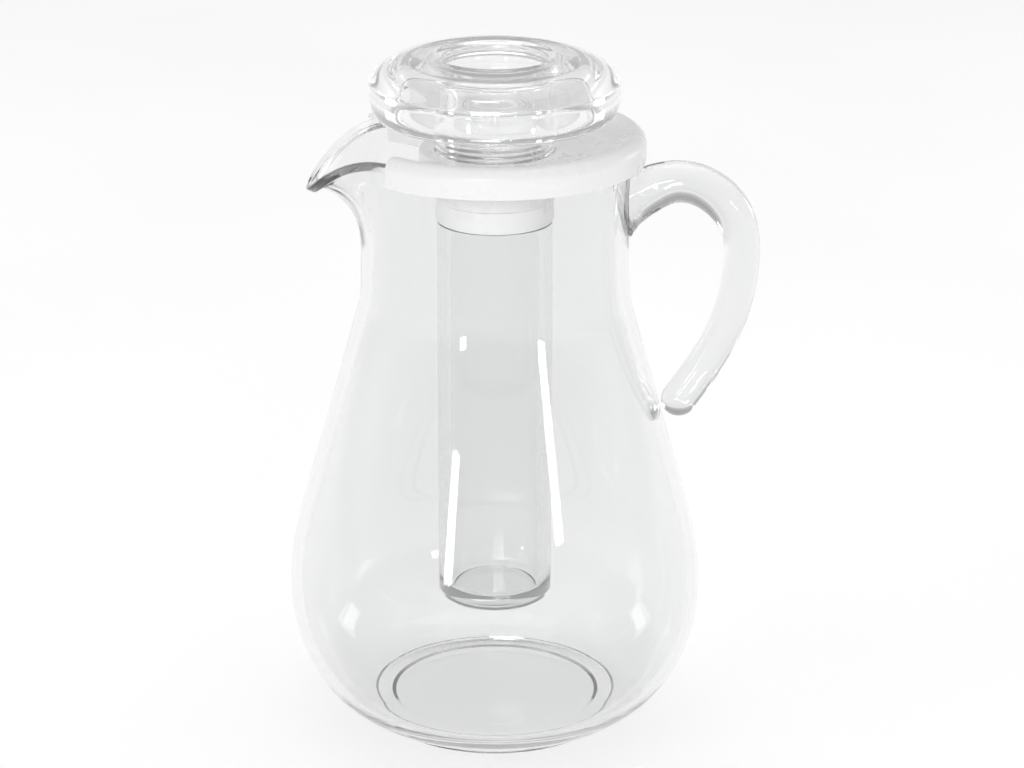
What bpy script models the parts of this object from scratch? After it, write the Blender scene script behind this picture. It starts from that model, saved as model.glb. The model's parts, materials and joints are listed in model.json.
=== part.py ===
"""Clear pitcher with a lift-off lid and an ice core hanging in the jug.

Dimensions are in millimetres and are scaled to metres as the meshes are made.
The jug's axis is the Z axis, its foot stands on z = 0, the handle is towards +X
and the pouring lip towards -X.
"""

import math

import bmesh
import bpy

MM = 0.001

# Jug body, outer skin
R_FOOT = 50.2            # flat foot
R_BOWL_START = 38.0      # radius at which the bowl's curve would reach the floor
R_BELLY = 82.5
Z_BELLY = 56.0
BOWL_POWER = 2.1
Z_CONE = 95.0            # the belly runs into a straight cone here
R_CONE = 75.4
CONE_SLOPE = 0.285
R_NECK = 52.2
NECK_BLEND = 1.5
Z_NECK = 196.0           # above this the lip's shape starts
FOOT_STEP = 1.8

# Rim and pouring lip
R_RIM = 53.2             # middle of the rim's bead
Z_RIM = 236.9
LIP_HALF_ANGLE = 45.1
LIP_REACH = 17.8
LIP_REACH_POWER = 1.9
LIP_DROP = 16.9
LIP_DROP_POWER = 3.95
TROUGH_HALF_ANGLE = 17.0  # bend where the lip leaves the neck, from the lip's middle, in degrees
TROUGH_ROUND = 3.0
TROUGH_BEND = 0.05
RIM_FLARE = 6.0          # lean of the wall at the rim, in degrees
LIP_FLARE = 62.0         # added to it at the lip's middle
WALL = 4.5
RIM_WALL = 3.4
FLOOR_THICKNESS = 6.0

# Handle
HANDLE_GAP = 0.45
HANDLE_TIP_R = 7.0
HANDLE_ROOT = 3.0        # path points over which the root's sections turn

# Lid ring
R_RING = 58.4
R_SKIRT_IN = 56.2
Z_SKIRT = 230.6
Z_CREST = 242.0
CREST_ROUND = 4.8
Z_DISH = 234.6
Z_CHANNEL = 239.0        # underside that rests over the rim
R_SOCKET = 23.3
Z_SEAT = 229.6
R_HUB = 23.9
R_HUB_BORE = 19.7
Z_HUB = 215.3
Z_HUB_LEDGE = 217.6
R_SPIGOT = 17.15
R_SPIGOT_BORE = 15.3
Z_SPIGOT = 205.4
LID_TURN = 7.7           # the lid sits turned this far from the pouring lip, in degrees
R_CUT = 29.5             # inner end of the pouring cut-out
CUT_ANGLE = 42.5         # lean of its sides from its middle line
CUT_APEX = 7.5           # where the sides would meet, from the axis
CUT_BESIDE = 53.3        # beside the cut-out the plate is plain up to here
Z_BESIDE = 230.9         # its underside there
R_LIP_IN = 45.6          # lip that hangs inside the rim
Z_LIP = 227.5

# Core
R_TUBE = 22.6
R_TUBE_BORE = 17.5
Z_TUBE = 49.0
TUBE_FLOOR = 5.0
R_TUBE_NECK = 20.6
Z_TUBE_NECK = 206.2
Z_TUBE_TOP = 213.4
R_COLLAR = 23.3
Z_COLLAR = 206.6
Z_COLLAR_TOP = 215.0
GASKET = 1.2

# Stopper
R_DOME = 48.6
Z_DOME = 261.4           # widest line of the dome
Z_TOP = 271.8
R_DOME_TOP = 29.0
DOME_POWER_UP = 1.55
R_DOME_LIP = 42.6
Z_DOME_LIP = 247.3
DOME_POWER_DOWN = 2.5
R_CAVITY = 40.6
Z_CAVITY = 267.2
R_WELL = 19.6
Z_WELL = 259.4
WELL_FLOOR = 3.4
R_STOPPER_NECK = 22.8
R_PLUG = 19.2
R_PLUG_BORE = 15.8
Z_PLUG = 218.4

# Mesh density
JUG_SEGMENTS = 52
RING_SEGMENTS = 48
ROUND_SEGMENTS = 40


def clear_scene():
    for obj in list(bpy.data.objects):
        bpy.data.objects.remove(obj, do_unlink=True)
    for mesh in list(bpy.data.meshes):
        if mesh.users == 0:
            bpy.data.meshes.remove(mesh)


def material(name, color, roughness, transmission=0.0):
    mat = bpy.data.materials.new(name)
    mat.use_nodes = True
    shader = mat.node_tree.nodes["Principled BSDF"]
    shader.inputs["Base Color"].default_value = (*color, 1.0)
    shader.inputs["Roughness"].default_value = roughness
    shader.inputs["Transmission Weight"].default_value = transmission
    shader.inputs["IOR"].default_value = 1.49
    return mat


def finish(bm, name, mat):
    bmesh.ops.recalc_face_normals(bm, faces=bm.faces)
    mesh = bpy.data.meshes.new(name)
    bm.to_mesh(mesh)
    bm.free()
    mesh.materials.append(mat)
    obj = bpy.data.objects.new(name, mesh)
    bpy.context.scene.collection.objects.link(obj)
    return obj


def arc(center_r, center_z, radius, start, end, steps):
    """Points (r, z) on an arc, angles in degrees from +r towards +z."""
    points = []
    for k in range(steps + 1):
        a = math.radians(start + (end - start) * k / steps)
        points.append((center_r + radius * math.cos(a), center_z + radius * math.sin(a)))
    return points


def evenly(segments):
    return [2.0 * math.pi * k / segments for k in range(segments)]


def turned(name, profile_at, angles, mat):
    """A closed solid round Z. profile_at gives the loop of (r, z) points at each numbered angle."""
    segments = len(angles)
    profiles = [profile_at(k) for k in range(segments)]
    bm = bmesh.new()
    rings = []
    for row in zip(*profiles):
        if row[0][0] < 1e-6:
            rings.append([bm.verts.new((0.0, 0.0, row[0][1] * MM))])
            continue
        rings.append(
            [
                bm.verts.new((r * math.cos(a) * MM, r * math.sin(a) * MM, z * MM))
                for a, (r, z) in zip(angles, row)
            ]
        )
    for lower, upper in zip(rings, rings[1:] + rings[:1]):
        if len(lower) == 1 and len(upper) == 1:
            continue
        for k in range(segments):
            n = (k + 1) % segments
            if len(lower) == 1:
                bm.faces.new((lower[0], upper[n], upper[k]))
            elif len(upper) == 1:
                bm.faces.new((lower[k], lower[n], upper[0]))
            else:
                bm.faces.new((lower[k], lower[n], upper[n], upper[k]))
    return finish(bm, name, mat)


# ---------------------------------------------------------------- jug body


def body_radius(z):
    """Outer radius of the jug below the lip."""
    if z <= Z_BELLY:
        u = (Z_BELLY - z) / Z_BELLY
        swell = max(0.0, 1.0 - u**BOWL_POWER) ** (1.0 / BOWL_POWER)
        return R_BOWL_START + (R_BELLY - R_BOWL_START) * swell
    if z <= Z_CONE:
        h = Z_CONE - Z_BELLY
        t = (z - Z_BELLY) / h
        return (
            (2 * t**3 - 3 * t**2 + 1) * R_BELLY
            + (3 * t**2 - 2 * t**3) * R_CONE
            - (t**3 - t**2) * h * CONE_SLOPE
        )
    cone = R_CONE - CONE_SLOPE * (z - Z_CONE)
    return 0.5 * (cone + R_NECK + math.hypot(cone - R_NECK, NECK_BLEND))


def lip_weight(angle):
    """1 at the middle of the pouring lip, 0 outside it. The angle is from +X."""
    off = abs(math.degrees(math.pi - angle % (2.0 * math.pi)))
    if off >= LIP_HALF_ANGLE:
        return 0.0
    return math.cos(math.radians(90.0 * off / LIP_HALF_ANGLE))


def rim_point(angle, across, along):
    """A point (r, z) of the rim's bead, from its middle across the wall and along it."""
    c = lip_weight(angle)
    out, down = c**LIP_REACH_POWER, c**LIP_DROP_POWER
    lean = math.radians(RIM_FLARE + LIP_FLARE * out)
    s, k = math.sin(lean), math.cos(lean)
    return (
        R_RIM + LIP_REACH * out + across * k + along * s,
        Z_RIM - LIP_DROP * down - across * s + along * k,
    )


def trough_weight(angle):
    """1 at the middle of the lip, falling in a straight line to a tight bend where the lip leaves the neck."""
    off = math.degrees(math.acos(max(-1.0, min(1.0, -math.cos(angle)))))
    share = 1.0 - (math.hypot(off, TROUGH_ROUND) - TROUGH_ROUND) / TROUGH_HALF_ANGLE
    return TROUGH_BEND * math.log1p(math.exp(max(-40.0, share / TROUGH_BEND)))


def upper_wall(angle):
    """Control points (r, z) of the wall from the neck up to the rim."""
    out, trough = lip_weight(angle) ** LIP_REACH_POWER, trough_weight(angle)
    end = rim_point(angle, -0.9, -3.0)
    start = (body_radius(Z_NECK), Z_NECK)
    first = (R_NECK + 0.1, 211.0 - 2.0 * trough)
    second = (R_NECK + 5.2 * trough, end[1] - 6.0 + 1.6 * out)
    return start, first, second, end


def bezier(points, t):
    a, b, c, d = points
    s = 1.0 - t
    weights = (s**3, 3 * s * s * t, 3 * s * t * t, t**3)
    return tuple(sum(w * p[i] for w, p in zip(weights, (a, b, c, d))) for i in (0, 1))


def bezier_slope(points, t):
    a, b, c, d = points
    s = 1.0 - t
    weights = (-3 * s * s, 3 * s * s - 6 * s * t, 6 * s * t - 3 * t * t, 3 * t * t)
    dr, dz = (sum(w * p[i] for w, p in zip(weights, (a, b, c, d))) for i in (0, 1))
    length = math.hypot(dr, dz)
    return dr / length, dz / length


def jug_angles():
    """Angles round the jug, closer together at the lip."""
    angles = []
    for k in range(JUG_SEGMENTS):
        s = 2.0 * math.pi * k / JUG_SEGMENTS
        angles.append(s + 0.45 * math.sin(s))
    return angles


def jug_rows(angle):
    """The closed wall section (r, z) at one angle, from the foot up and back down inside."""
    rows = [(R_FOOT - 0.6, 0.0), (R_FOOT, 0.6), (R_FOOT + 0.1, FOOT_STEP)]
    outer = [4.5, 9.0, 16.0, 26.0, 39.0, 56.0, 73.0, 94.0, 116.0, 138.0, 158.0, 174.0, 186.0, Z_NECK]
    rows += [(body_radius(z), z) for z in outer]
    wall = upper_wall(angle)
    steps = (0.22, 0.42, 0.6, 0.75, 0.88, 1.0)
    rows += [bezier(wall, t) for t in steps]
    # bead of the rim, with a land that slopes down to the inside
    bead = ((1.2, -2.0), (1.9, -1.2), (1.9, 0.7), (1.1, 1.65), (0.1, 1.65), (-3.3, -0.7), (-3.9, -1.8))
    rows += [rim_point(angle, across, along) for across, along in bead]
    # inner skin, one wall thickness in along the section's normal
    for t in reversed(steps):
        (r, z), (tr, tz) = bezier(wall, t), bezier_slope(wall, t)
        thick = WALL + (RIM_WALL - WALL) * t
        rows.append((r - tz * thick, z + tr * thick))
    for z in reversed(outer[3:]):
        slope = (body_radius(z + 0.5) - body_radius(z - 0.5)) / 1.0
        length = math.hypot(1.0, slope)
        rows.append((body_radius(z) - WALL / length, z + slope * WALL / length))
    rows += [(58.0, 11.2), (48.0, 7.4), (34.0, FLOOR_THICKNESS)]
    return rows


def make_jug(mat):
    bm = bmesh.new()
    columns = []
    for angle in jug_angles():
        columns.append(
            [
                bm.verts.new((r * math.cos(angle) * MM, r * math.sin(angle) * MM, z * MM))
                for r, z in jug_rows(angle)
            ]
        )
    for here, there in zip(columns, columns[1:] + columns[:1]):
        for k in range(len(here) - 1):
            bm.faces.new((here[k], there[k], there[k + 1], here[k + 1]))
    under = bm.verts.new((0.0, 0.0, 0.0))
    floor = bm.verts.new((0.0, 0.0, FLOOR_THICKNESS * MM))
    for here, there in zip(columns, columns[1:] + columns[:1]):
        bm.faces.new((there[0], here[0], under))
        bm.faces.new((here[-1], there[-1], floor))
    return finish(bm, "jug_body", mat)


# ---------------------------------------------------------------- handle

# Centre line in the XZ plane with the half height across it and the half width along Y
HANDLE_PATH = (
    (53.0, 212.4, 13.2, 9.6),
    (56.4, 215.5, 11.0, 8.8),
    (60.5, 218.2, 9.5, 8.2),
    (65.8, 220.4, 8.6, 7.8),
    (72.4, 221.2, 8.2, 7.6),
    (80.5, 219.2, 8.1, 7.5),
    (88.6, 213.4, 8.0, 7.4),
    (94.4, 204.4, 7.5, 7.2),
    (96.4, 192.0, 7.0, 7.0),
    (94.7, 176.0, 7.0, 7.0),
    (90.2, 161.0, 7.0, 7.0),
    (83.4, 147.6, 7.0, 7.0),
    (77.4, 138.4, 7.0, 7.0),
    (72.9, 131.8, 7.0, 7.0),
)


def through(points, position):
    """A smooth value between the listed points, position counted in points."""
    last = len(points) - 1
    k = min(int(position), last - 1)
    t = position - k
    p0, p1 = points[max(k - 1, 0)], points[k]
    p2, p3 = points[k + 1], points[min(k + 2, last)]
    return tuple(
        0.5 * (2 * b + (c - a) * t + (2 * a - 5 * b + 4 * c - d) * t * t + (3 * b - a - 3 * c + d) * t**3)
        for a, b, c, d in zip(p0, p1, p2, p3)
    )


def neck_radius(z):
    """Outer radius of the wall above the neck, away from the lip."""
    wall = upper_wall(0.0)
    low, high = 0.0, 1.0
    for _ in range(40):
        mid = 0.5 * (low + high)
        if bezier(wall, mid)[1] < z:
            low = mid
        else:
            high = mid
    return bezier(wall, low)[0]


def handle_ring(x, z, tx, tz, up, wide, sides):
    """Points (x, y, z) of one section across the path."""
    ring = []
    for k in range(sides):
        a = 2.0 * math.pi * k / sides
        rise, y = up * math.cos(a), wide * math.sin(a)
        ring.append((x - tz * rise, y, z + tx * rise))
    return ring


def make_handle(mat, sides=16, steps=26):
    rings = []
    last = len(HANDLE_PATH) - 1
    for k in range(steps + 1):
        position = last * k / steps
        x, z, up, wide = through(HANDLE_PATH, position)
        ahead = through(HANDLE_PATH, min(position + 0.05, last))
        behind = through(HANDLE_PATH, max(position - 0.05, 0.0))
        dx, dz = ahead[0] - behind[0], ahead[1] - behind[1]
        length = math.hypot(dx, dz)
        # sections stand upright at the root and turn square to the path over the first stretch
        turn = min(max(position - 1.0, 0.0) / HANDLE_ROOT, 1.0)
        sx, sz = 1.0 + (dx / length - 1.0) * turn, dz / length * turn
        size = math.hypot(sx, sz)
        rings.append(handle_ring(x, z, sx / size, sz / size, up, wide, sides))
    # the root lies on the neck
    rings[0] = [
        (math.sqrt((neck_radius(z) + HANDLE_GAP) ** 2 - y * y), y, z) for _, y, z in rings[0]
    ]
    # round lower tip
    x, z, _, _ = HANDLE_PATH[-1]
    for a in (35.0, 65.0):
        r = HANDLE_TIP_R * math.cos(math.radians(a))
        out = HANDLE_TIP_R * math.sin(math.radians(a))
        rings.append(handle_ring(x + dx / length * out, z + dz / length * out, dx / length, dz / length, r, r, sides))
    bm = bmesh.new()
    made = [[bm.verts.new((x * MM, y * MM, z * MM)) for x, y, z in ring] for ring in rings]
    for here, there in zip(made, made[1:]):
        for k in range(sides):
            n = (k + 1) % sides
            bm.faces.new((here[k], here[n], there[n], there[k]))
    root_z = HANDLE_PATH[0][1]
    root = bm.verts.new(((neck_radius(root_z) + HANDLE_GAP) * MM, 0.0, root_z * MM))
    tip = bm.verts.new(((x + dx / length * HANDLE_TIP_R) * MM, 0.0, (z + dz / length * HANDLE_TIP_R) * MM))
    for k in range(sides):
        n = (k + 1) % sides
        bm.faces.new((made[0][n], made[0][k], root))
        bm.faces.new((made[-1][k], made[-1][n], tip))
    return finish(bm, "handle", mat)


# ---------------------------------------------------------------- lid ring


def ring_angles():
    """Angles round the lid from its cut-out's middle, with a close pair where the section steps."""
    steps = [360.0 * (k + 0.5) / RING_SEGMENTS for k in range(RING_SEGMENTS)]
    near, far = CUT_BESIDE, 360.0 - CUT_BESIDE
    steps = [a for a in steps if min(abs(a - near), abs(a - far)) > 2.0]
    steps += [near - 0.3, near + 0.3, far - 0.3, far + 0.3]
    return sorted(steps)


def ring_profile(off):
    """Skirt, dished top, socket for the stopper, hub, spigot, underside and rim channel."""
    beside_cut = min(off, 360.0 - off) <= CUT_BESIDE
    over_lip = off <= CUT_BESIDE       # the skirt stops short of the pouring lip on the back side
    mid_r, mid_z = R_RING - CREST_ROUND, Z_CREST - CREST_ROUND
    if over_lip:
        top = [(R_RING - 1.4, Z_CHANNEL), (R_RING - 0.6, Z_CHANNEL)]
        top += arc(mid_r, mid_z, CREST_ROUND, 24.0, 90.0, 4)
    else:
        top = [(R_RING - 0.5, Z_SKIRT), (R_RING, Z_SKIRT + 0.6)]
        top += arc(mid_r, mid_z, CREST_ROUND, 0.0, 90.0, 4)
    top += [(mid_r - 2.4, Z_CREST - 0.7)]
    for k in range(1, 5):
        t = k / 5.0
        r = mid_r - 2.4 + (26.0 - mid_r + 2.4) * t
        top.append((r, Z_DISH + (Z_CREST - 0.7 - Z_DISH) * (1.0 - t) ** 1.7))
    top += [(R_SOCKET + 0.7, Z_DISH)]
    bore = [
        (R_SOCKET, Z_DISH - 0.7),
        (R_SOCKET, Z_SEAT),
        (R_HUB_BORE, Z_SEAT),
        (R_HUB_BORE, Z_HUB_LEDGE),
        (R_SPIGOT_BORE, Z_HUB_LEDGE),
        (R_SPIGOT_BORE, Z_SPIGOT),
        (R_SPIGOT, Z_SPIGOT),
        (R_SPIGOT, Z_HUB),
        (R_HUB - 0.4, Z_HUB),
        (R_HUB, Z_HUB + 0.4),
    ]
    under = [
        (R_HUB, 228.2),
        (R_HUB + 2.2, 230.4),
        (36.0, Z_BESIDE if beside_cut else 231.6),
        (R_LIP_IN - 0.6, Z_BESIDE if beside_cut else 233.2),
        (R_LIP_IN, Z_BESIDE if beside_cut else Z_LIP),
        (R_LIP_IN + 1.6, Z_BESIDE if beside_cut else Z_LIP),
        (47.9 if beside_cut else 47.6, Z_BESIDE + 0.4),
        (48.6, Z_CHANNEL),
        (R_SKIRT_IN, Z_CHANNEL),
        (R_SKIRT_IN + 0.4, Z_CHANNEL) if over_lip else (R_SKIRT_IN, Z_SKIRT),
    ]
    return top + bore + under


def lid_point(along, aside):
    """A point (x, y) from the lid's own line through its cut-out, along it and to its back side."""
    turn = math.radians(LID_TURN)
    c, s = math.cos(turn), math.sin(turn)
    return -along * c - aside * s, -along * s + aside * c


def make_cutter():
    """Wedge with a round inner end that opens the lid ring at the pouring lip."""
    lean = math.radians(CUT_ANGLE)
    # where the sides meet the round inner end
    reach = CUT_ANGLE - math.degrees(math.asin(CUT_APEX * math.sin(lean) / R_CUT))
    outline = []
    for k in range(11):
        a = math.radians(-reach + 2.0 * reach * k / 10.0)
        outline.append((R_CUT * math.cos(a), R_CUT * math.sin(a)))
    far = 64.0
    outline += [(far, (far - CUT_APEX) * math.tan(lean)), (far, -(far - CUT_APEX) * math.tan(lean))]
    places = [lid_point(along, aside) for along, aside in outline]
    bm = bmesh.new()
    low = [bm.verts.new((x * MM, y * MM, 200.0 * MM)) for x, y in places]
    high = [bm.verts.new((x * MM, y * MM, 260.0 * MM)) for x, y in places]
    bm.faces.new(low)
    bm.faces.new(high)
    for k in range(len(places)):
        n = (k + 1) % len(places)
        bm.faces.new((low[k], low[n], high[n], high[k]))
    cutter = finish(bm, "cutter_pour", bpy.data.materials["white_lid"])
    cutter.hide_render = True
    cutter.display_type = "WIRE"
    return cutter


def make_ring(mat):
    offs = ring_angles()
    angles = [math.pi + math.radians(LID_TURN - off) for off in offs]
    ring = turned("lid_ring", lambda k: ring_profile(offs[k]), angles, mat)
    cut = ring.modifiers.new("pour_cut", "BOOLEAN")
    cut.operation = "DIFFERENCE"
    cut.solver = "EXACT"
    cut.object = make_cutter()
    return ring


# ---------------------------------------------------------------- core


def make_tube(mat):
    bottom = arc(R_TUBE - 3.0, Z_TUBE + 3.0, 3.0, -90.0, 0.0, 3)
    floor = Z_TUBE + TUBE_FLOOR
    inside = arc(R_TUBE_BORE - 2.5, floor + 2.5, 2.5, 0.0, -90.0, 2)
    profile = [(0.0, Z_TUBE)] + bottom
    profile += [
        (R_TUBE, Z_TUBE_NECK - 0.5),
        (R_TUBE - 0.5, Z_TUBE_NECK),
        (R_TUBE_NECK, Z_TUBE_NECK),
        (R_TUBE_NECK, Z_TUBE_TOP),
        (R_TUBE_BORE, Z_TUBE_TOP),
    ]
    profile += inside + [(0.0, floor)]
    return turned("core_tube", lambda k: profile, evenly(ROUND_SEGMENTS), mat)


def make_collar(mat):
    inner = R_TUBE_NECK + 0.35
    profile = [
        (inner, Z_COLLAR),
        (R_COLLAR - 0.4, Z_COLLAR),
        (R_COLLAR, Z_COLLAR + 0.4),
        (R_COLLAR - 0.4, Z_COLLAR_TOP),
        (inner, Z_COLLAR_TOP),
    ]
    return turned("core_collar", lambda k: profile, evenly(ROUND_SEGMENTS), mat)


def make_gasket(mat):
    low = Z_TUBE_TOP + 0.3
    profile = [
        (R_TUBE_BORE + 0.1, low),
        (R_TUBE_NECK - 0.1, low),
        (R_TUBE_NECK - 0.1, low + GASKET),
        (R_TUBE_BORE + 0.1, low + GASKET),
    ]
    return turned("core_gasket", lambda k: profile, evenly(ROUND_SEGMENTS), mat)


# ---------------------------------------------------------------- stopper


def dome_skin(steps):
    """Outer skin of the dome from its flat top to its lower lip."""
    points = []
    for k in range(steps + 1):
        a = math.radians(90.0 * (1.0 - k / steps))
        p = 2.0 / DOME_POWER_UP
        points.append(
            (
                R_DOME_TOP + (R_DOME - R_DOME_TOP) * math.cos(a) ** p,
                Z_DOME + (Z_TOP - Z_DOME) * math.sin(a) ** p,
            )
        )
    for k in range(1, steps + 1):
        a = math.radians(90.0 * k / steps)
        p = 2.0 / DOME_POWER_DOWN
        points.append(
            (
                R_DOME_LIP + (R_DOME - R_DOME_LIP) * max(0.0, math.cos(a)) ** p,
                Z_DOME - (Z_DOME - Z_DOME_LIP) * math.sin(a) ** p,
            )
        )
    return points


def make_stopper(mat):
    well = [(0.0, Z_WELL)] + arc(R_WELL - 2.0, Z_WELL + 2.0, 2.0, -90.0, 0.0, 2)
    well += [(R_WELL + 0.8, Z_TOP - 2.2), (R_WELL + 2.2, Z_TOP - 0.6), (R_WELL + 4.4, Z_TOP)]
    skin = dome_skin(5)
    cavity = [
        (R_CAVITY + 0.6, Z_DOME_LIP),
        (R_CAVITY, Z_CAVITY - 4.0),
        (R_CAVITY - 1.4, Z_CAVITY - 1.2),
        (R_CAVITY - 4.6, Z_CAVITY),
        (R_STOPPER_NECK + 4.0, Z_CAVITY),
        (R_STOPPER_NECK + 1.0, Z_CAVITY - 1.4),
        (R_STOPPER_NECK, Z_CAVITY - 4.5),
    ]
    neck = [
        (R_STOPPER_NECK, Z_SEAT + 0.7),
        (R_STOPPER_NECK - 0.4, Z_SEAT + 0.3),
        (R_PLUG, Z_SEAT + 0.3),
        (R_PLUG, Z_PLUG + 0.6),
        (R_PLUG - 0.6, Z_PLUG),
        (R_PLUG_BORE, Z_PLUG),
    ]
    under = Z_WELL - WELL_FLOOR
    bore = [(R_PLUG_BORE, under - 1.5), (R_PLUG_BORE - 1.5, under), (0.0, under)]
    profile = well + skin + cavity + neck + bore
    return turned("stopper", lambda k: profile, evenly(ROUND_SEGMENTS), mat)


def main():
    clear_scene()
    clear = (0.93, 0.95, 0.95)
    white = (0.88, 0.88, 0.87)
    make_jug(material("clear_jug", clear, 0.03, 1.0))
    make_handle(material("clear_handle", clear, 0.03, 1.0))
    make_ring(material("white_lid", white, 0.25))
    make_collar(material("white_collar", white, 0.25))
    make_tube(material("clear_tube", clear, 0.03, 1.0))
    make_gasket(material("seal", (0.8, 0.8, 0.78), 0.55))
    make_stopper(material("clear_stopper", clear, 0.03, 1.0))


main()
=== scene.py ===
import json
import math

import bmesh
import bpy
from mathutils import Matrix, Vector

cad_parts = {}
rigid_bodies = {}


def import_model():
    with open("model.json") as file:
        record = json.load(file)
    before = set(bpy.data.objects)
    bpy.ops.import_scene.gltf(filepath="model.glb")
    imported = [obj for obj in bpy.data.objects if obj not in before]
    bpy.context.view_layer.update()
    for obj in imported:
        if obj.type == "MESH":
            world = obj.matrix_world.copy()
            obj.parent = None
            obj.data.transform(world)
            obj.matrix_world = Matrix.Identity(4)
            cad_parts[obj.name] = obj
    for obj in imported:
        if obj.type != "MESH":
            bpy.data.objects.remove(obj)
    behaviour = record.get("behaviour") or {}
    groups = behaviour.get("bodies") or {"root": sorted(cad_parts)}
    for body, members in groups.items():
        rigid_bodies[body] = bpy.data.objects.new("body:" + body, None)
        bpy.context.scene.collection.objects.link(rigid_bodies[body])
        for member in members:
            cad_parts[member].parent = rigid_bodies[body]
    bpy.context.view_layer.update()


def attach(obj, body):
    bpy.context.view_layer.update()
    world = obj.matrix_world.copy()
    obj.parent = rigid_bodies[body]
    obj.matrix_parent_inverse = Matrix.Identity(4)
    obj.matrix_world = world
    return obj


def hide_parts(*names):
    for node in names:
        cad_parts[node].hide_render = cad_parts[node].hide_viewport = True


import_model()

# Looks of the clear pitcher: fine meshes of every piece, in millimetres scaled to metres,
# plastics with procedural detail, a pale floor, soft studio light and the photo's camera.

MM = 0.001

# ---------------------------------------------------------------- helpers


def finish_mesh(bm, name, mat, sharp=38.0):
    bmesh.ops.recalc_face_normals(bm, faces=bm.faces)
    mesh = bpy.data.meshes.new(name)
    bm.to_mesh(mesh)
    bm.free()
    mesh.materials.append(mat)
    mesh.polygons.foreach_set("use_smooth", [True] * len(mesh.polygons))
    mesh.set_sharp_from_angle(angle=math.radians(sharp))
    obj = bpy.data.objects.new(name, mesh)
    bpy.context.scene.collection.objects.link(obj)
    return obj


def place(obj, body, node):
    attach(obj, body)
    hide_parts(node)
    return obj


def rounded(corners, closed=True, turn=9.0, support=0.22, arc_steps=0, share=0.42):
    """A line through (r, z, radius) corners with each corner rounded by its radius.
    A short edge beside each round keeps the shading of the flat beside it true.
    No round takes more than its share of a side.
    With arc_steps every round has that many steps, so lines of the same corners have equally many points."""
    points = []
    count = len(corners)
    for i, (r, z, radius) in enumerate(corners):
        ends = not closed and i in (0, count - 1)
        if radius <= 0.0 or ends:
            points.append((r, z))
            continue
        p, q = corners[i - 1], corners[(i + 1) % count]
        ax, az = p[0] - r, p[1] - z
        bx, bz = q[0] - r, q[1] - z
        la, lb = math.hypot(ax, az), math.hypot(bx, bz)
        ax, az, bx, bz = ax / la, az / la, bx / lb, bz / lb
        angle = math.acos(max(-1.0, min(1.0, ax * bx + az * bz)))
        back = min(radius / math.tan(angle / 2.0), share * la, share * lb)
        size = back * math.tan(angle / 2.0)
        mx, mz = ax + bx, az + bz
        lm = math.hypot(mx, mz)
        reach = size / math.sin(angle / 2.0)
        cx, cz = r + mx / lm * reach, z + mz / lm * reach
        sx, sz = r + ax * back, z + az * back
        ex, ez = r + bx * back, z + bz * back
        start = math.atan2(sz - cz, sx - cx)
        sweep = math.atan2(ez - cz, ex - cx) - start
        sweep = (sweep + math.pi) % (2.0 * math.pi) - math.pi
        steps = arc_steps or max(3, int(math.ceil(abs(math.degrees(sweep)) / turn)))
        before, after = min(support, 0.25 * (la - back)), min(support, 0.25 * (lb - back))
        points.append((sx + ax * before, sz + az * before))
        for k in range(steps + 1):
            a = start + sweep * k / steps
            points.append((cx + size * math.cos(a), cz + size * math.sin(a)))
        points.append((ex + bx * after, ez + bz * after))
    return points


def turned(name, profile_at, angles, mat, sharp=38.0):
    """A closed solid round Z from the loop of (r, z) points at each angle."""
    profiles = [profile_at(a) for a in angles]
    count = len(angles)
    bm = bmesh.new()
    rings = []
    for row in zip(*profiles):
        if row[0][0] < 1e-6:
            rings.append([bm.verts.new((0.0, 0.0, row[0][1] * MM))])
            continue
        rings.append(
            [
                bm.verts.new((r * math.cos(a) * MM, r * math.sin(a) * MM, z * MM))
                for a, (r, z) in zip(angles, row)
            ]
        )
    for lower, upper in zip(rings, rings[1:] + rings[:1]):
        if len(lower) == 1 and len(upper) == 1:
            continue
        for k in range(count):
            n = (k + 1) % count
            if len(lower) == 1:
                bm.faces.new((lower[0], upper[n], upper[k]))
            elif len(upper) == 1:
                bm.faces.new((lower[k], lower[n], upper[0]))
            else:
                bm.faces.new((lower[k], lower[n], upper[n], upper[k]))
    return finish_mesh(bm, name, mat, sharp)


def evenly(count):
    return [2.0 * math.pi * k / count for k in range(count)]


def smooth(a, b, x):
    t = max(0.0, min(1.0, (x - a) / (b - a)))
    return t * t * (3.0 - 2.0 * t)


# ---------------------------------------------------------------- materials


def new_material(name):
    mat = bpy.data.materials.new(name)
    mat.use_nodes = True
    nodes, links = mat.node_tree.nodes, mat.node_tree.links
    shader = nodes["Principled BSDF"]
    place_node = nodes.new("ShaderNodeTexCoord")
    return mat, nodes, links, shader, place_node.outputs["Object"]


def noise(nodes, links, where, scale, detail=3.0, rough=0.5):
    tex = nodes.new("ShaderNodeTexNoise")
    tex.inputs["Scale"].default_value = scale
    tex.inputs["Detail"].default_value = detail
    tex.inputs["Roughness"].default_value = rough
    links.new(where, tex.inputs["Vector"])
    return tex.outputs["Fac"]


def spread(nodes, links, value, low, high, start=0.3, end=0.7):
    node = nodes.new("ShaderNodeMapRange")
    node.inputs["From Min"].default_value = start
    node.inputs["From Max"].default_value = end
    node.inputs["To Min"].default_value = low
    node.inputs["To Max"].default_value = high
    links.new(value, node.inputs["Value"])
    return node.outputs["Result"]


def tint(nodes, links, value, first, second):
    node = nodes.new("ShaderNodeValToRGB")
    node.color_ramp.elements[0].position = 0.3
    node.color_ramp.elements[0].color = (*first, 1.0)
    node.color_ramp.elements[1].position = 0.7
    node.color_ramp.elements[1].color = (*second, 1.0)
    links.new(value, node.inputs["Fac"])
    return node.outputs["Color"]


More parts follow.
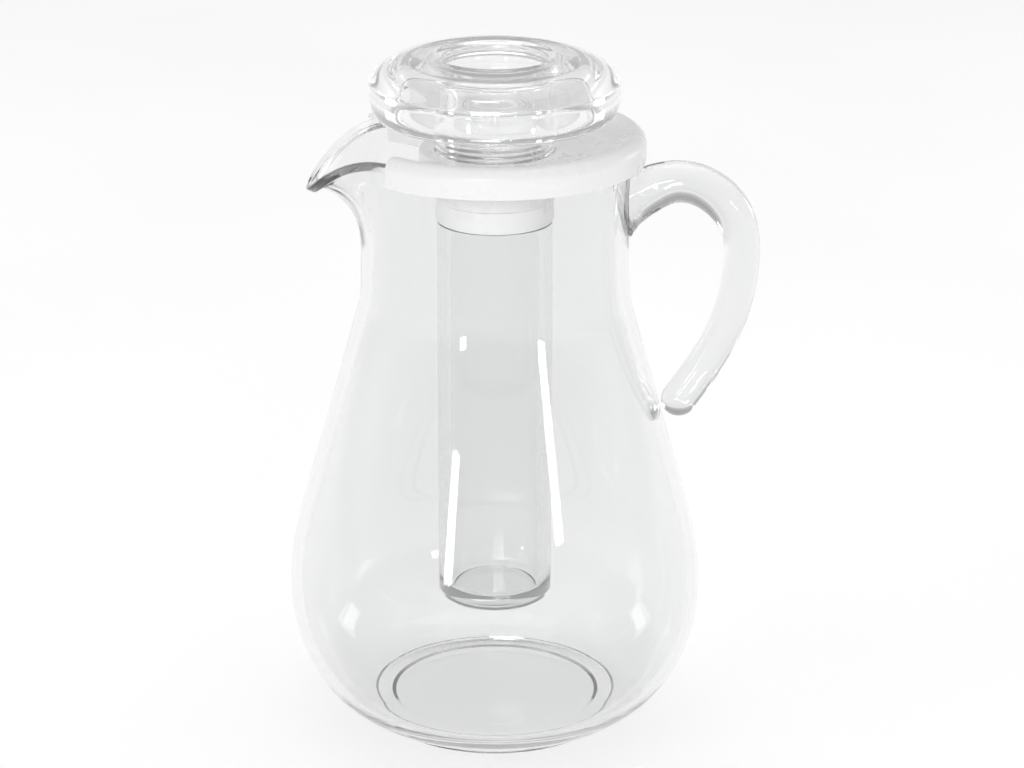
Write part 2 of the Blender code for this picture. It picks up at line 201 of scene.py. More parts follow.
def bumps(nodes, links, shader, layers):
    """Stacks bump layers of (height, strength, distance)."""
    normal = None
    for height, strength, distance in layers:
        node = nodes.new("ShaderNodeBump")
        node.inputs["Strength"].default_value = strength
        node.inputs["Distance"].default_value = distance
        links.new(height, node.inputs["Height"])
        if normal is not None:
            links.new(normal, node.inputs["Normal"])
        normal = node.outputs["Normal"]
    links.new(normal, shader.inputs["Normal"])


def clear_plastic(name, wave, first, second, depth=0.0):
    """Polished clear plastic with the faint waviness and haze of a moulding. With a depth the
    plastic itself takes light, so it is darker where it is seen along a wall, as at the edges."""
    mat, nodes, links, shader, where = new_material(name)
    shader.inputs["Transmission Weight"].default_value = 1.0
    shader.inputs["IOR"].default_value = 1.49
    links.new(tint(nodes, links, noise(nodes, links, where, 14.0), first, second), shader.inputs["Base Color"])
    haze = noise(nodes, links, where, 46.0, 4.0, 0.6)
    links.new(spread(nodes, links, haze, 0.0, 0.022), shader.inputs["Roughness"])
    bumps(
        nodes,
        links,
        shader,
        [
            (noise(nodes, links, where, 22.0, 1.0), wave, 0.001),
            (noise(nodes, links, where, 210.0, 2.0), 0.012, 0.0002),
        ],
    )
    if depth > 0.0:
        inside = nodes.new("ShaderNodeVolumeAbsorption")
        inside.inputs["Color"].default_value = (0.75, 0.755, 0.755, 1.0)
        inside.inputs["Density"].default_value = depth
        links.new(inside.outputs["Volume"], nodes["Material Output"].inputs["Volume"])
    return mat


def white_plastic(name, first, second):
    mat, nodes, links, shader, where = new_material(name)
    shader.inputs["IOR"].default_value = 1.5
    links.new(
        tint(nodes, links, noise(nodes, links, where, 30.0, 4.0), first, second),
        shader.inputs["Base Color"],
    )
    links.new(spread(nodes, links, noise(nodes, links, where, 90.0, 5.0, 0.6), 0.25, 0.32), shader.inputs["Roughness"])
    bumps(
        nodes,
        links,
        shader,
        [
            (noise(nodes, links, where, 55.0, 2.0), 0.012, 0.0006),
            (noise(nodes, links, where, 1500.0, 2.0), 0.018, 0.00006),
        ],
    )
    return mat


def silicone(name):
    mat, nodes, links, shader, where = new_material(name)
    shader.inputs["IOR"].default_value = 1.41
    shader.inputs["Subsurface Weight"].default_value = 0.3
    shader.inputs["Subsurface Radius"].default_value = (1.0, 1.0, 0.95)
    shader.inputs["Subsurface Scale"].default_value = 0.002
    links.new(
        tint(nodes, links, noise(nodes, links, where, 120.0, 4.0), (0.77, 0.77, 0.75), (0.83, 0.83, 0.81)),
        shader.inputs["Base Color"],
    )
    links.new(spread(nodes, links, noise(nodes, links, where, 260.0, 4.0), 0.45, 0.62), shader.inputs["Roughness"])
    bumps(nodes, links, shader, [(noise(nodes, links, where, 900.0, 3.0), 0.15, 0.0001)])
    return mat


jug_clear = clear_plastic("clear_jug_look", 0.09, (0.905, 0.908, 0.908), (0.92, 0.923, 0.923), 5.0)
handle_clear = clear_plastic("clear_handle_look", 0.04, (0.945, 0.948, 0.948), (0.96, 0.963, 0.963), 30.0)
tube_clear = clear_plastic("clear_tube_look", 0.03, (0.965, 0.968, 0.968), (0.978, 0.981, 0.981), 22.0)
stopper_clear = clear_plastic("clear_stopper_look", 0.03, (0.98, 0.982, 0.982), (0.99, 0.992, 0.992))
lid_white = white_plastic("white_lid_look", (0.887, 0.887, 0.885), (0.894, 0.894, 0.892))
collar_white = white_plastic("white_collar_look", (0.916, 0.916, 0.914), (0.93, 0.93, 0.928))
seal_look = silicone("seal_look")

# ---------------------------------------------------------------- jug body

R_FOOT = 50.3
R_BOWL_START = 38.0
R_BELLY = 82.5
Z_BELLY = 56.0
BOWL_POWER = 2.1
Z_CONE = 95.0
R_CONE = 75.4
CONE_SLOPE = 0.285
R_NECK = 52.2
NECK_BLEND = 1.5
Z_NECK = 196.0
R_RIM = 53.2
Z_RIM = 236.9
LIP_HALF_ANGLE = 45.1
LIP_REACH = 17.8
LIP_REACH_POWER = 1.9
LIP_DROP = 16.9
LIP_DROP_POWER = 3.95
TROUGH_HALF_ANGLE = 17.0
TROUGH_ROUND = 3.0
TROUGH_BEND = 0.05
RIM_FLARE = 6.0
LIP_FLARE = 62.0
WALL = 4.5
RIM_WALL = 3.4
FLOOR_THICKNESS = 6.0
FOOT_RECESS = 1.0


def body_radius(z):
    if z <= Z_BELLY:
        u = (Z_BELLY - z) / Z_BELLY
        swell = max(0.0, 1.0 - u**BOWL_POWER) ** (1.0 / BOWL_POWER)
        return R_BOWL_START + (R_BELLY - R_BOWL_START) * swell
    if z <= Z_CONE:
        h = Z_CONE - Z_BELLY
        t = (z - Z_BELLY) / h
        return (
            (2 * t**3 - 3 * t**2 + 1) * R_BELLY
            + (3 * t**2 - 2 * t**3) * R_CONE
            - (t**3 - t**2) * h * CONE_SLOPE
        )
    cone = R_CONE - CONE_SLOPE * (z - Z_CONE)
    return 0.5 * (cone + R_NECK + math.hypot(cone - R_NECK, NECK_BLEND))


def lip_weight(angle):
    off = abs(math.degrees(math.pi - angle % (2.0 * math.pi)))
    if off >= LIP_HALF_ANGLE:
        return 0.0
    return math.cos(math.radians(90.0 * off / LIP_HALF_ANGLE))


def rim_point(angle, across, along):
    """A point of the rim's bead, from its middle across the wall and along it."""
    c = lip_weight(angle)
    out, down = c**LIP_REACH_POWER, c**LIP_DROP_POWER
    lean = math.radians(RIM_FLARE + LIP_FLARE * out)
    s, k = math.sin(lean), math.cos(lean)
    return (
        R_RIM + LIP_REACH * out + across * k + along * s,
        Z_RIM - LIP_DROP * down - across * s + along * k,
    )


def trough_weight(angle):
    """1 at the middle of the lip, falling in a straight line to a tight bend where the lip leaves the neck."""
    off = math.degrees(math.acos(max(-1.0, min(1.0, -math.cos(angle)))))
    share = 1.0 - (math.hypot(off, TROUGH_ROUND) - TROUGH_ROUND) / TROUGH_HALF_ANGLE
    return TROUGH_BEND * math.log1p(math.exp(max(-40.0, share / TROUGH_BEND)))


def upper_wall(angle):
    out, trough = lip_weight(angle) ** LIP_REACH_POWER, trough_weight(angle)
    end = rim_point(angle, -0.9, -3.0)
    start = (body_radius(Z_NECK), Z_NECK)
    first = (R_NECK + 0.1, 211.0 - 2.0 * trough)
    second = (R_NECK + 5.2 * trough, end[1] - 6.0 + 1.6 * out)
    return start, first, second, end


# corners of the rim's bead and of the land that slopes down to the inside: across, along, radius
BEAD = ((-0.9, -3.0, 0.45), (1.9, -1.9, 0.8), (1.9, 1.65, 1.2), (0.1, 1.65, 1.1), (-3.5, -0.85, 0.6))


def bezier(points, t):
    s = 1.0 - t
    weights = (s**3, 3 * s * s * t, 3 * s * t * t, t**3)
    return tuple(sum(w * p[i] for w, p in zip(weights, points)) for i in (0, 1))


def bezier_slope(points, t):
    s = 1.0 - t
    weights = (-3 * s * s, 3 * s * s - 6 * s * t, 6 * s * t - 3 * t * t, 3 * t * t)
    dr, dz = (sum(w * p[i] for w, p in zip(weights, points)) for i in (0, 1))
    length = math.hypot(dr, dz)
    return dr / length, dz / length


def inner_point(z):
    slope = body_radius(z + 0.3) - body_radius(z - 0.3)
    slope /= 0.6
    length = math.hypot(1.0, slope)
    return body_radius(z) - WALL / length, z + slope * WALL / length


def jug_section(angle):
    """The closed wall section at one angle, from the middle of the underside round to the middle of the floor."""
    first = 3.4
    foot = rounded(
        [
            (0.0, FOOT_RECESS, 0.0),
            (22.0, FOOT_RECESS, 0.0),
            (41.6, FOOT_RECESS, 1.2),
            (43.4, 0.0, 0.9),
            (R_FOOT, 0.0, 0.8),
            (R_FOOT, 2.0, 0.7),
            (body_radius(first), first, 0.0),
        ],
        closed=False,
        support=0.12,
    )
    rows = foot
    z = first
    heights = []
    while z < Z_NECK - 0.5:
        step = 0.7 if z < 8.0 else 1.4 if z < 24.0 else 2.4 if z < 100.0 else 3.2
        if 168.0 < z < Z_NECK:
            step = 1.6
        z += step
        if z < Z_NECK - 0.5:
            heights.append(z)
    heights.append(Z_NECK)
    rows = rows + [(body_radius(h), h) for h in heights]
    wall = upper_wall(angle)
    steps = [k / 30.0 for k in range(1, 30)]
    rows += [bezier(wall, t) for t in steps]

    def inner_skin(t):
        (r, z), (tr, tz) = bezier(wall, t), bezier_slope(wall, t)
        thick = WALL + (RIM_WALL - WALL) * t
        return r - tz * thick, z + tr * thick

    edge = [(*bezier(wall, steps[-1]), 0.0)]
    edge += [(*rim_point(angle, across, along), radius) for across, along, radius in BEAD]
    edge.append((*inner_skin(steps[-1]), 0.0))
    rows += rounded(edge, closed=False, arc_steps=7, support=0.15)[1:-1]
    rows += [inner_skin(t) for t in reversed(steps)]
    low = 26.0
    for h in reversed(heights):
        if h >= low:
            rows.append(inner_point(h))
            last = h
    # the floor runs up into the wall
    end = inner_point(last - 2.4)
    up = inner_point(last)
    dr, dz = end[0] - up[0], end[1] - up[1]
    length = math.hypot(dr, dz)
    curve = (end, (end[0] + dr / length * 16.0, end[1] + dz / length * 16.0), (54.0, FLOOR_THICKNESS), (30.0, FLOOR_THICKNESS))
    rows += [bezier(curve, k / 22.0) for k in range(23)]
    rows += [(20.0, FLOOR_THICKNESS), (0.0, FLOOR_THICKNESS)]
    return rows


def jug_angles(count):
    return [s + 0.42 * math.sin(s) for s in evenly(count)]


jug = turned("jug_body_look", jug_section, jug_angles(288), jug_clear, sharp=50.0)
place(jug, "jug", "jug_body")

# ---------------------------------------------------------------- handle

HANDLE_GAP = 0.12
HANDLE_TIP_R = 7.0
HANDLE_ROOT = 3.0
HANDLE_PATH = (
    (53.0, 212.4, 13.2, 9.6),
    (56.4, 215.5, 11.0, 8.8),
    (60.5, 218.2, 9.5, 8.2),
    (65.8, 220.4, 8.6, 7.8),
    (72.4, 221.2, 8.2, 7.6),
    (80.5, 219.2, 8.1, 7.5),
    (88.6, 213.4, 8.0, 7.4),
    (94.4, 204.4, 7.5, 7.2),
    (96.4, 192.0, 7.0, 7.0),
    (94.7, 176.0, 7.0, 7.0),
    (90.2, 161.0, 7.0, 7.0),
    (83.4, 147.6, 7.0, 7.0),
    (77.4, 138.4, 7.0, 7.0),
    (72.9, 131.8, 7.0, 7.0),
)


def through(points, position):
    last = len(points) - 1
    k = min(int(position), last - 1)
    t = position - k
    p0, p1 = points[max(k - 1, 0)], points[k]
    p2, p3 = points[k + 1], points[min(k + 2, last)]
    return tuple(
        0.5 * (2 * b + (c - a) * t + (2 * a - 5 * b + 4 * c - d) * t * t + (3 * b - a - 3 * c + d) * t**3)
        for a, b, c, d in zip(p0, p1, p2, p3)
    )


def neck_radius(z):
    wall = upper_wall(0.0)
    low, high = 0.0, 1.0
    for _ in range(40):
        mid = 0.5 * (low + high)
        if bezier(wall, mid)[1] < z:
            low = mid
        else:
            high = mid
    return bezier(wall, low)[0]


def handle_ring(x, z, tx, tz, up, wide, sides):
    ring = []
    for k in range(sides):
        a = 2.0 * math.pi * k / sides
        rise, y = up * math.cos(a), wide * math.sin(a)
        ring.append((x - tz * rise, y, z + tx * rise))
    return ring


def make_handle(mat, sides=56, steps=168):
    rings = []
    last = len(HANDLE_PATH) - 1
    for k in range(steps + 1):
        position = last * k / steps
        x, z, up, wide = through(HANDLE_PATH, position)
        ahead = through(HANDLE_PATH, min(position + 0.05, last))
        behind = through(HANDLE_PATH, max(position - 0.05, 0.0))
        dx, dz = ahead[0] - behind[0], ahead[1] - behind[1]
        length = math.hypot(dx, dz)
        turn = smooth(0.6, 1.0 + HANDLE_ROOT, position)
        sx, sz = 1.0 + (dx / length - 1.0) * turn, dz / length * turn
        size = math.hypot(sx, sz)
        rings.append(handle_ring(x, z, sx / size, sz / size, up, wide, sides))

    def on_neck(y, z):
        return (math.sqrt((neck_radius(z) + HANDLE_GAP) ** 2 - y * y), y, z)

    root_z = HANDLE_PATH[0][1]
    rings[0] = [on_neck(y, z) for _, y, z in rings[0]]
    # the flare's first sections stay clear of the neck's curve
    for k in range(1, 14):
        if k >= len(rings):
            break
        moved = []
        for ring_x, ring_y, ring_z in rings[k]:
            limit = on_neck(ring_y, ring_z)[0] + 0.1 * k
            moved.append((max(ring_x, limit), ring_y, ring_z))
        rings[k] = moved
    x, z, _, _ = HANDLE_PATH[-1]
    ux, uz = dx / length, dz / length
    for k in range(1, 15):
        a = math.radians(90.0 * k / 15.0)
        r, out = HANDLE_TIP_R * math.cos(a), HANDLE_TIP_R * math.sin(a)
        rings.append(handle_ring(x + ux * out, z + uz * out, ux, uz, r, r, sides))
    bm = bmesh.new()
    made = [[bm.verts.new((px * MM, py * MM, pz * MM)) for px, py, pz in ring] for ring in rings]
    for here, there in zip(made, made[1:]):
        for k in range(sides):
            n = (k + 1) % sides
            bm.faces.new((here[k], here[n], there[n], there[k]))
    # root face, lying on the neck
    outer = made[0]
    flat = [(y, z) for _, y, z in rings[0]]
    for share in (0.8, 0.6, 0.4, 0.2):
        inner = []
        for flat_y, flat_z in flat:
            px, py, pz = on_neck(flat_y * share, root_z + (flat_z - root_z) * share)
            inner.append(bm.verts.new((px * MM, py * MM, pz * MM)))
        for k in range(sides):
            n = (k + 1) % sides
            bm.faces.new((outer[n], outer[k], inner[k], inner[n]))
        outer = inner
    px, py, pz = on_neck(0.0, root_z)
    root = bm.verts.new((px * MM, py * MM, pz * MM))
    tip = bm.verts.new(((x + ux * HANDLE_TIP_R) * MM, 0.0, (z + uz * HANDLE_TIP_R) * MM))
    for k in range(sides):
        n = (k + 1) % sides
        bm.faces.new((outer[n], outer[k], root))
        bm.faces.new((made[-1][k], made[-1][n], tip))
    return finish_mesh(bm, "handle_look", mat)


place(make_handle(handle_clear), "jug", "handle")

# ---------------------------------------------------------------- lid ring

R_RING = 58.4
R_SKIRT_IN = 56.2
Z_SKIRT = 230.6
Z_CREST = 242.0
CREST_ROUND = 4.8
Z_DISH = 234.6
Z_CHANNEL = 239.0
R_SOCKET = 23.3
Z_SEAT = 229.6
R_HUB = 23.9
R_HUB_BORE = 19.7
Z_HUB = 215.3
Z_HUB_LEDGE = 217.6
R_SPIGOT = 17.15
R_SPIGOT_BORE = 15.3
Z_SPIGOT = 205.4
LID_TURN = 7.7
R_CUT = 29.5
CUT_ANGLE = 42.5
CUT_APEX = 7.5
CUT_BESIDE = 53.3
Z_BESIDE = 230.9
Z_UNDER = 230.6
R_LIP_IN = 45.6
Z_LIP = 227.5
CUT_ROUND = 0.55         # rounding of the edges at the cut-out's inner end
SIDE_ROUND = 0.14        # and at its sides


def side_angle(r):
    """Angle of the cut-out's sides at a radius, from its middle line, in degrees."""
    lean = math.radians(CUT_ANGLE)
    return CUT_ANGLE - math.degrees(math.asin(CUT_APEX * math.sin(lean) / max(r, 15.0)))


CUT_EDGE = side_angle(R_RING)


def dish_height(r):
    t = max(0.0, min(1.0, (51.2 - r) / 25.2))
    return Z_DISH + 6.7 * (1.0 - t) ** 1.7


def ring_inner(edge):
    """From the plate's underside at radius edge, round the hub, bore and socket, out to the dish at radius edge."""
    line = rounded(
        [
            (edge, Z_UNDER, 0.0),
            (R_HUB, Z_UNDER - 0.8, 2.2),
            (R_HUB, Z_HUB, 0.5),
            (R_SPIGOT, Z_HUB, 0.3),
            (R_SPIGOT, Z_SPIGOT, 0.45),
            (R_SPIGOT_BORE, Z_SPIGOT, 0.45),
            (R_SPIGOT_BORE, Z_HUB_LEDGE, 0.5),
            (R_HUB_BORE, Z_HUB_LEDGE, 0.4),
            (R_HUB_BORE, Z_SEAT, 0.5),
            (R_SOCKET, Z_SEAT, 0.4),
            (R_SOCKET, Z_DISH, 0.7),
            (27.0, Z_DISH + 0.12, 0.0),
        ],
        closed=False,
        arc_steps=8,
    )[:-1]
    start = 24.6
    for k in range(1, 9):
        r = start + (edge - start) * k / 8.0
        line.append((r, dish_height(r)))
    return line


def ring_outer(off, edge, inset):
    """From the dish at radius edge over the crest, down the skirt, up into the rim channel, round the inner lip and back
    along the underside to radius edge. The angle is from the cut-out's middle, in degrees, positive to the back.
    An inset draws the line in, for the rounding beside the cut-out."""
    deep = 1.0 - smooth(CUT_BESIDE - 0.4, CUT_BESIDE + 0.4, abs(off))
    over = deep if off > 0.0 else 0.0
    line = []
    for k in range(1, 11):
        r = edge + (47.0 - edge) * k / 10.0
        line.append((r, dish_height(r)))
    mid_r, mid_z = R_RING - CREST_ROUND, Z_CREST - CREST_ROUND
    rise = dish_height(47.0)
    crest = ((47.0, rise), (49.2, rise + 0.88), (51.4, Z_CREST), (mid_r, Z_CREST))
    line += [bezier(crest, k / 9.0) for k in range(1, 10)]
    for k in range(1, 15):
        a = math.radians(90.0 - (90.0 - 27.0 * over) * k / 14.0)
        line.append((mid_r + CREST_ROUND * math.cos(a), mid_z + CREST_ROUND * math.sin(a)))
    last = line[-1]
    line += rounded(
        [
            (last[0], last[1], 0.0),
            (R_RING - 0.47 * over, Z_SKIRT + (Z_CHANNEL - Z_SKIRT) * over, 0.6 - 0.45 * over),
            (R_SKIRT_IN + 0.8 * over, Z_SKIRT + (Z_CHANNEL - 0.03 - Z_SKIRT) * over, 0.5),
            (R_SKIRT_IN, Z_CHANNEL + 0.02 * over, 0.9),
            (48.6, Z_CHANNEL, 0.8),
            (R_LIP_IN + 1.6 + 0.7 * deep, Z_LIP + (Z_BESIDE - Z_LIP) * deep, 0.6),
            (R_LIP_IN, Z_LIP + (Z_BESIDE + 0.03 - Z_LIP) * deep, 0.5),
            (R_LIP_IN - 0.3, 233.0 + (Z_BESIDE - 233.0) * deep, 0.0),
            (36.0, 231.5 + (Z_BESIDE - 231.5) * deep, 0.0),
            (edge, Z_UNDER, 0.0),
        ],
        closed=False,
        arc_steps=8,
    )[1:]
    line.pop()
    if inset > 0.0:
        drawn = []
        count = len(line)
        full = [ring_inner(edge)[-1]] + line + [(edge, Z_UNDER)]
        for i in range(1, count + 1):
            (ar, az), (r, z), (br, bz) = full[i - 1], full[i], full[i + 1]
            tr, tz = br - ar, bz - az
            length = math.hypot(tr, tz) or 1.0
            fade = min(1.0, i / 4.0, (count + 1 - i) / 2.0)
            # the loop runs clockwise in (r, z), so its inside lies to the right
            drawn.append((r + tz / length * inset * fade, z - tr / length * inset * fade))
        line = drawn
    return line


def cut_end(edge_top, edge_low):
    """The cut-out's inner end, from the dish down to the underside, as offsets along r from the wall's face."""
    points = []
    for k in range(1, 6):
        a = math.radians(18.0 * k)
        points.append((-CUT_ROUND + CUT_ROUND * math.sin(a), edge_top - CUT_ROUND + CUT_ROUND * math.cos(a)))
    points.append((0.0, edge_top - CUT_ROUND - 0.25))
    points.append((0.0, edge_low + CUT_ROUND + 0.25))
    for k in range(0, 5):
        a = math.radians(18.0 * k)
        points.append((-CUT_ROUND + CUT_ROUND * math.cos(a), edge_low + CUT_ROUND - CUT_ROUND * math.sin(a)))
    return points


def make_ring(mat):
    bm = bmesh.new()

    def turn_of(off, r):
        """The sides of the cut-out lean from the radius, and the sections beside them follow."""
        if abs(off) <= CUT_EDGE:
            moved = off * side_angle(r) / CUT_EDGE
        else:
            shift = (side_angle(r) - CUT_EDGE) * (1.0 - smooth(CUT_EDGE + 2.0, 110.0, abs(off)))
            moved = off + math.copysign(shift, off)
        return math.pi + math.radians(LID_TURN - moved)

    def put(points, off):
        made = []
        for r, z in points:
            angle = turn_of(off, r)
            made.append(bm.verts.new((r * math.cos(angle) * MM, r * math.sin(angle) * MM, z * MM)))
        return made

    def skin(here, there):
        for k in range(len(here) - 1):
            bm.faces.new((here[k], there[k], there[k + 1], here[k + 1]))

    edge = R_CUT - CUT_ROUND
    # full sections, from one side of the cut-out round to the other
    beside = [0.0, 0.03, 0.07, 0.14, 0.5, 1.0, 2.0, 3.5, 5.0, 6.5, 8.0, 9.5, 11.0, 12.5, 14.0]
    offs = [CUT_EDGE + b for b in beside]
    offs += [CUT_BESIDE - 0.7 + 0.1 * k for k in range(15)]
    offs += [CUT_BESIDE + 1.4, CUT_BESIDE + 2.4]
    steps = 140
    start, end = offs[-1], 360.0 - offs[-1]
    middle = [start + (end - start) * k / steps for k in range(1, steps)]
    turn = offs + middle + [360.0 - o for o in reversed(offs)]
    columns = []
    for off in turn:
        signed = off if off <= 180.0 else off - 360.0
        into = max(0.0, 1.0 - (abs(signed) - CUT_EDGE) / 0.14)
        inset = SIDE_ROUND * (1.0 - math.sqrt(max(0.0, 1.0 - into * into))) if into > 0.0 else 0.0
        columns.append((put(ring_inner(edge), signed), put(ring_outer(signed, edge, inset), signed)))
    for (a_in, a_out), (b_in, b_out) in zip(columns, columns[1:]):
        skin(a_in + a_out + a_in[:1], b_in + b_out + b_in[:1])
    # sections across the cut-out
    spread_steps = 40
    first, last = columns[0], columns[-1]
    before_in, before_end = None, None
    wall = [(R_CUT + dr, z) for dr, z in cut_end(dish_height(edge), Z_UNDER)]
    for k in range(spread_steps + 1):
        off = CUT_EDGE - 2.0 * CUT_EDGE * k / spread_steps
        now_end = put(wall, off)
        if k == 0:
            now_in = first[0]
        elif k == spread_steps:
            now_in = last[0]
        else:
            now_in = put(ring_inner(edge), off)
        if before_in is not None:
            skin(before_in + before_end + before_in[:1], now_in + now_end + now_in[:1])
        if k == 0:
            side_back = (now_in, now_end)
        before_in, before_end = now_in, now_end
    side_front = (before_in, before_end)
    # side walls of the cut-out
    for (inner, end_line), outer in ((side_back, first[1]), (side_front, last[1])):
        bm.faces.new([inner[-1]] + list(outer) + [inner[0]] + list(reversed(end_line)))
    bm.normal_update()
    bmesh.ops.triangulate(bm, faces=[f for f in bm.faces if len(f.verts) > 4], ngon_method="EAR_CLIP")
    return finish_mesh(bm, "lid_ring_look", mat, sharp=40.0)


place(make_ring(lid_white), "lid", "lid_ring")

# ---------------------------------------------------------------- core

R_TUBE = 22.6
R_TUBE_BORE = 17.5
Z_TUBE = 49.0
TUBE_FLOOR = 5.0
R_TUBE_NECK = 20.6
Z_TUBE_NECK = 206.2
Z_TUBE_TOP = 213.4
R_COLLAR = 23.3
Z_COLLAR = 206.6
Z_COLLAR_TOP = 215.0

tube_line = rounded(
    [
        (0.0, Z_TUBE, 0.0),
        (R_TUBE, Z_TUBE, 3.0),
        (R_TUBE, Z_TUBE_NECK, 0.5),
        (R_TUBE_NECK, Z_TUBE_NECK, 0.3),
        (R_TUBE_NECK, Z_TUBE_TOP, 0.4),
        (R_TUBE_BORE, Z_TUBE_TOP, 0.4),
        (R_TUBE_BORE, Z_TUBE + TUBE_FLOOR, 2.6),
        (0.0, Z_TUBE + TUBE_FLOOR, 0.0),
    ]
)
tube = turned("core_tube_look", lambda a: tube_line, evenly(144), tube_clear)
place(tube, "core", "core_tube")

collar_in = R_TUBE_NECK + 0.3
collar_line = rounded(
    [
        (collar_in, Z_COLLAR, 0.25),
        (R_COLLAR - 0.1, Z_COLLAR, 0.5),
        (R_COLLAR - 0.4, Z_COLLAR_TOP, 0.35),
        (collar_in, Z_COLLAR_TOP, 0.25),
    ]
)
collar = turned("core_collar_look", lambda a: collar_line, evenly(144), collar_white)
place(collar, "core", "core_collar")

gasket_low = Z_TUBE_TOP + 0.3
gasket_line = rounded(
    [
        (R_TUBE_BORE + 0.1, gasket_low, 0.3),
        (R_TUBE_NECK - 0.1, gasket_low, 0.3),
        (R_TUBE_NECK - 0.1, gasket_low + 1.2, 0.3),
        (R_TUBE_BORE + 0.1, gasket_low + 1.2, 0.3),
    ],
    turn=15.0,
)
gasket = turned("core_gasket_look", lambda a: gasket_line, evenly(112), seal_look)
place(gasket, "core", "core_gasket")

# ---------------------------------------------------------------- stopper

R_DOME = 48.6
Z_DOME = 261.4
Z_TOP = 271.8
R_DOME_TOP = 29.0
DOME_POWER_UP = 1.55
R_DOME_LIP = 42.6
Z_DOME_LIP = 247.3
DOME_POWER_DOWN = 2.5
R_CAVITY = 40.6
Z_CAVITY = 267.2
R_WELL = 19.6
Z_WELL = 259.4
WELL_FLOOR = 3.4
R_STOPPER_NECK = 22.8
R_PLUG = 19.2
R_PLUG_BORE = 15.8
Z_PLUG = 218.4
THREAD_PITCH = 2.3
THREAD_DEPTH = 0.3
Z_THREAD_LOW, Z_THREAD_HIGH = 231.2, 241.6


def dome_skin(steps):
    points = []
    for k in range(steps + 1):
        a = math.radians(90.0 * (1.0 - k / steps))
        p = 2.0 / DOME_POWER_UP
        points.append(
            (
                R_DOME_TOP + (R_DOME - R_DOME_TOP) * max(0.0, math.cos(a)) ** p,
                Z_DOME + (Z_TOP - Z_DOME) * math.sin(a) ** p,
            )
        )
    for k in range(1, steps + 1):
        a = math.radians(90.0 * k / steps)
        p = 2.0 / DOME_POWER_DOWN
        points.append(
            (
                R_DOME_LIP + (R_DOME - R_DOME_LIP) * max(0.0, math.cos(a)) ** p,
                Z_DOME - (Z_DOME - Z_DOME_LIP) * math.sin(a) ** p,
            )
        )
    return points


well_line = rounded(
    [
        (0.0, Z_WELL, 0.0),
        (R_WELL, Z_WELL, 2.4),
        (R_WELL + 1.0, Z_TOP - 1.6, 1.2),
        (R_WELL + 3.6, Z_TOP, 2.0),
        (R_DOME_TOP, Z_TOP, 0.0),
    ],
    closed=False,
)[:-1]
skin_line = dome_skin(30)
lower_line = rounded(
    [
        (R_DOME_LIP + 0.6, Z_DOME_LIP + 0.4, 0.0),
        (R_DOME_LIP, Z_DOME_LIP, 0.0),
        (R_CAVITY + 0.6, Z_DOME_LIP, 0.5),
        (R_CAVITY, Z_CAVITY, 10.0),
        (R_STOPPER_NECK, Z_CAVITY, 4.2),
        (R_STOPPER_NECK, Z_THREAD_HIGH, 0.0),
    ],
    closed=False,
    turn=6.0,
    share=0.57,
)[2:-1]
plug_line = rounded(
    [
        (R_STOPPER_NECK, Z_THREAD_LOW, 0.0),
        (R_STOPPER_NECK, Z_SEAT + 0.3, 0.4),
        (R_PLUG, Z_SEAT + 0.3, 0.3),
        (R_PLUG, Z_PLUG, 0.7),
        (R_PLUG_BORE, Z_PLUG, 0.5),
        (R_PLUG_BORE, Z_WELL - WELL_FLOOR, 1.6),
        (0.0, Z_WELL - WELL_FLOOR, 0.0),
    ],
    closed=False,
)[1:]


def stopper_section(angle):
    thread = []
    rows = 52
    for k in range(rows + 1):
        z = Z_THREAD_HIGH + (Z_THREAD_LOW - Z_THREAD_HIGH) * k / rows
        wave = 0.5 - 0.5 * math.cos(2.0 * math.pi * z / THREAD_PITCH - angle)
        ends = smooth(Z_THREAD_LOW, Z_THREAD_LOW + 1.2, z) * (1.0 - smooth(Z_THREAD_HIGH - 1.2, Z_THREAD_HIGH, z))
        thread.append((R_STOPPER_NECK - THREAD_DEPTH * wave * ends, z))
    return well_line + skin_line + lower_line + thread + plug_line


stopper = turned("stopper_look", stopper_section, evenly(160), stopper_clear)
place(stopper, "stopper", "stopper")

# ---------------------------------------------------------------- floor, light and camera

floor_mat, nodes, links, shader, where = new_material("floor_look")
pale = tint(nodes, links, noise(nodes, links, where, 3.0, 2.0), (0.6, 0.6, 0.6), (0.615, 0.615, 0.615))
links.new(pale, shader.inputs["Base Color"])
# the table is a milky sheet with light below it
links.new(pale, shader.inputs["Emission Color"])
shader.inputs["Emission Strength"].default_value = 1.02
links.new(spread(nodes, links, noise(nodes, links, where, 40.0, 3.0), 0.6, 0.7), shader.inputs["Roughness"])
bumps(nodes, links, shader, [(noise(nodes, links, where, 400.0, 2.0), 0.02, 0.0002)])
bm = bmesh.new()
cells = 8
grid = [
    [bm.verts.new((-6.0 + 12.0 * i / cells, -4.0 + 12.0 * j / cells, -0.0002)) for i in range(cells + 1)]
    for j in range(cells + 1)
]
for j in range(cells):
    for i in range(cells):
        bm.faces.new((grid[j][i], grid[j][i + 1], grid[j + 1][i + 1], grid[j + 1][i]))
floor = finish_mesh(bm, "floor", floor_mat)

world = bpy.data.worlds.new("studio")
bpy.context.scene.world = world
world.use_nodes = True
wn, wl = world.node_tree.nodes, world.node_tree.links
background = wn["Background"]
sky_place = wn.new("ShaderNodeTexCoord")
sky_split = wn.new("ShaderNodeSeparateXYZ")
wl.new(sky_place.outputs["Generated"], sky_split.inputs["Vector"])
sky_ramp = wn.new("ShaderNodeValToRGB")
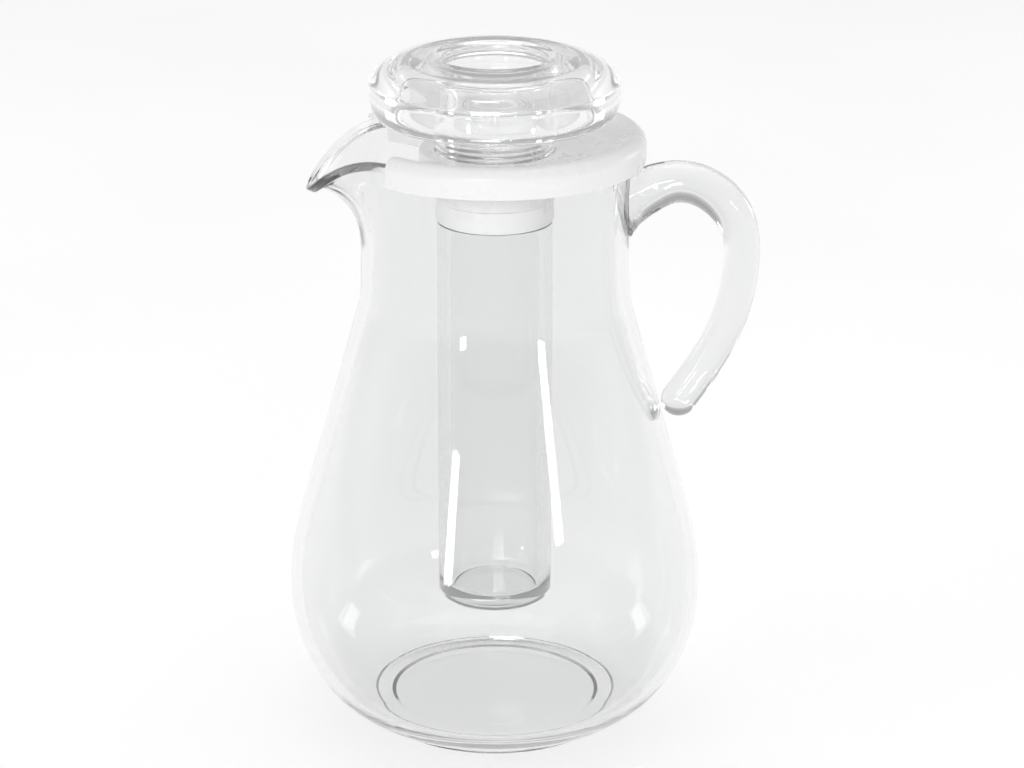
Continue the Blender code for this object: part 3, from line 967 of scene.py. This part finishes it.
# as bright as the far floor at the horizon, darker above it, bright again overhead
for spot, level in ((0.03, 1.12), (0.1, 0.74), (0.26, 0.52), (0.6, 0.6), (0.8, 0.88)):
    sky_ramp.color_ramp.elements.new(spot).color = (level, level, level, 1.0)
for end, level in ((0, 1.25), (-1, 1.08)):
    sky_ramp.color_ramp.elements[end].color = (level, level, level, 1.0)
wl.new(sky_split.outputs["Z"], sky_ramp.inputs["Fac"])
wl.new(sky_ramp.outputs["Color"], background.inputs["Color"])
background.inputs["Strength"].default_value = 1.0


def area_light(name, where_at, target, width, height, power):
    light = bpy.data.lights.new(name, "AREA")
    light.shape = "RECTANGLE"
    light.size, light.size_y = width, height
    light.energy = power
    obj = bpy.data.objects.new(name, light)
    bpy.context.scene.collection.objects.link(obj)
    obj.location = where_at
    obj.rotation_euler = (Vector(target) - Vector(where_at)).to_track_quat("-Z", "Y").to_euler()
    return obj


area_light("softbox_left", (-1.08, 0.62, 0.36), (0.0, 0.0, 0.1), 0.4, 0.26, 1.1)
area_light("softbox_right", (1.08, 0.62, 0.36), (0.0, 0.0, 0.1), 0.4, 0.26, 1.1)
area_light("strip_left", (-0.59, -1.21, 0.2575), (0.0, 0.0, 0.2), 0.09, 0.175, 0.94)
area_light("strip_right", (0.83, -1.06, 0.3175), (0.0, 0.0, 0.2), 0.09, 0.135, 0.72)
# low enough to reach the hub under the lid's ring
area_light("softbox_front", (-0.3, -1.7, 0.8), (0.0, 0.0, 0.2), 0.9, 0.2, 8.5)
area_light("softbox_top", (0.1, 0.5, 1.9), (0.0, 0.3, 0.0), 1.4, 1.0, 6.0)

camera_data = bpy.data.cameras.new("camera")
camera_data.sensor_fit = "HORIZONTAL"
camera_data.sensor_width = 36.0
camera_data.lens = 36.0 * 3079.8 / 1024.0
camera_data.shift_x = 17.1 / 1024.0
camera_data.clip_start = 0.05
camera_data.clip_end = 40.0
camera = bpy.data.objects.new("camera", camera_data)
bpy.context.scene.collection.objects.link(camera)
camera.location = (0.0, -1.1464, 0.5562)
camera.rotation_euler = (math.radians(90.0 - 20.05), 0.0, 0.0)
bpy.context.scene.camera = camera

scene = bpy.context.scene
scene.view_settings.view_transform = "Standard"
scene.view_settings.look = "None"
scene.view_settings.exposure = -0.34
scene.cycles.max_bounces = 128
scene.cycles.transmission_bounces = 128
scene.cycles.glossy_bounces = 128
scene.cycles.diffuse_bounces = 12
scene.cycles.sample_clamp_indirect = 40.0

# lamps shine through the clear pieces on to the white ones and the floor
for obj in bpy.data.objects:
    if obj.type == "MESH" and obj.name in ("jug_body_look", "handle_look", "core_tube_look", "stopper_look"):
        obj.visible_shadow = False
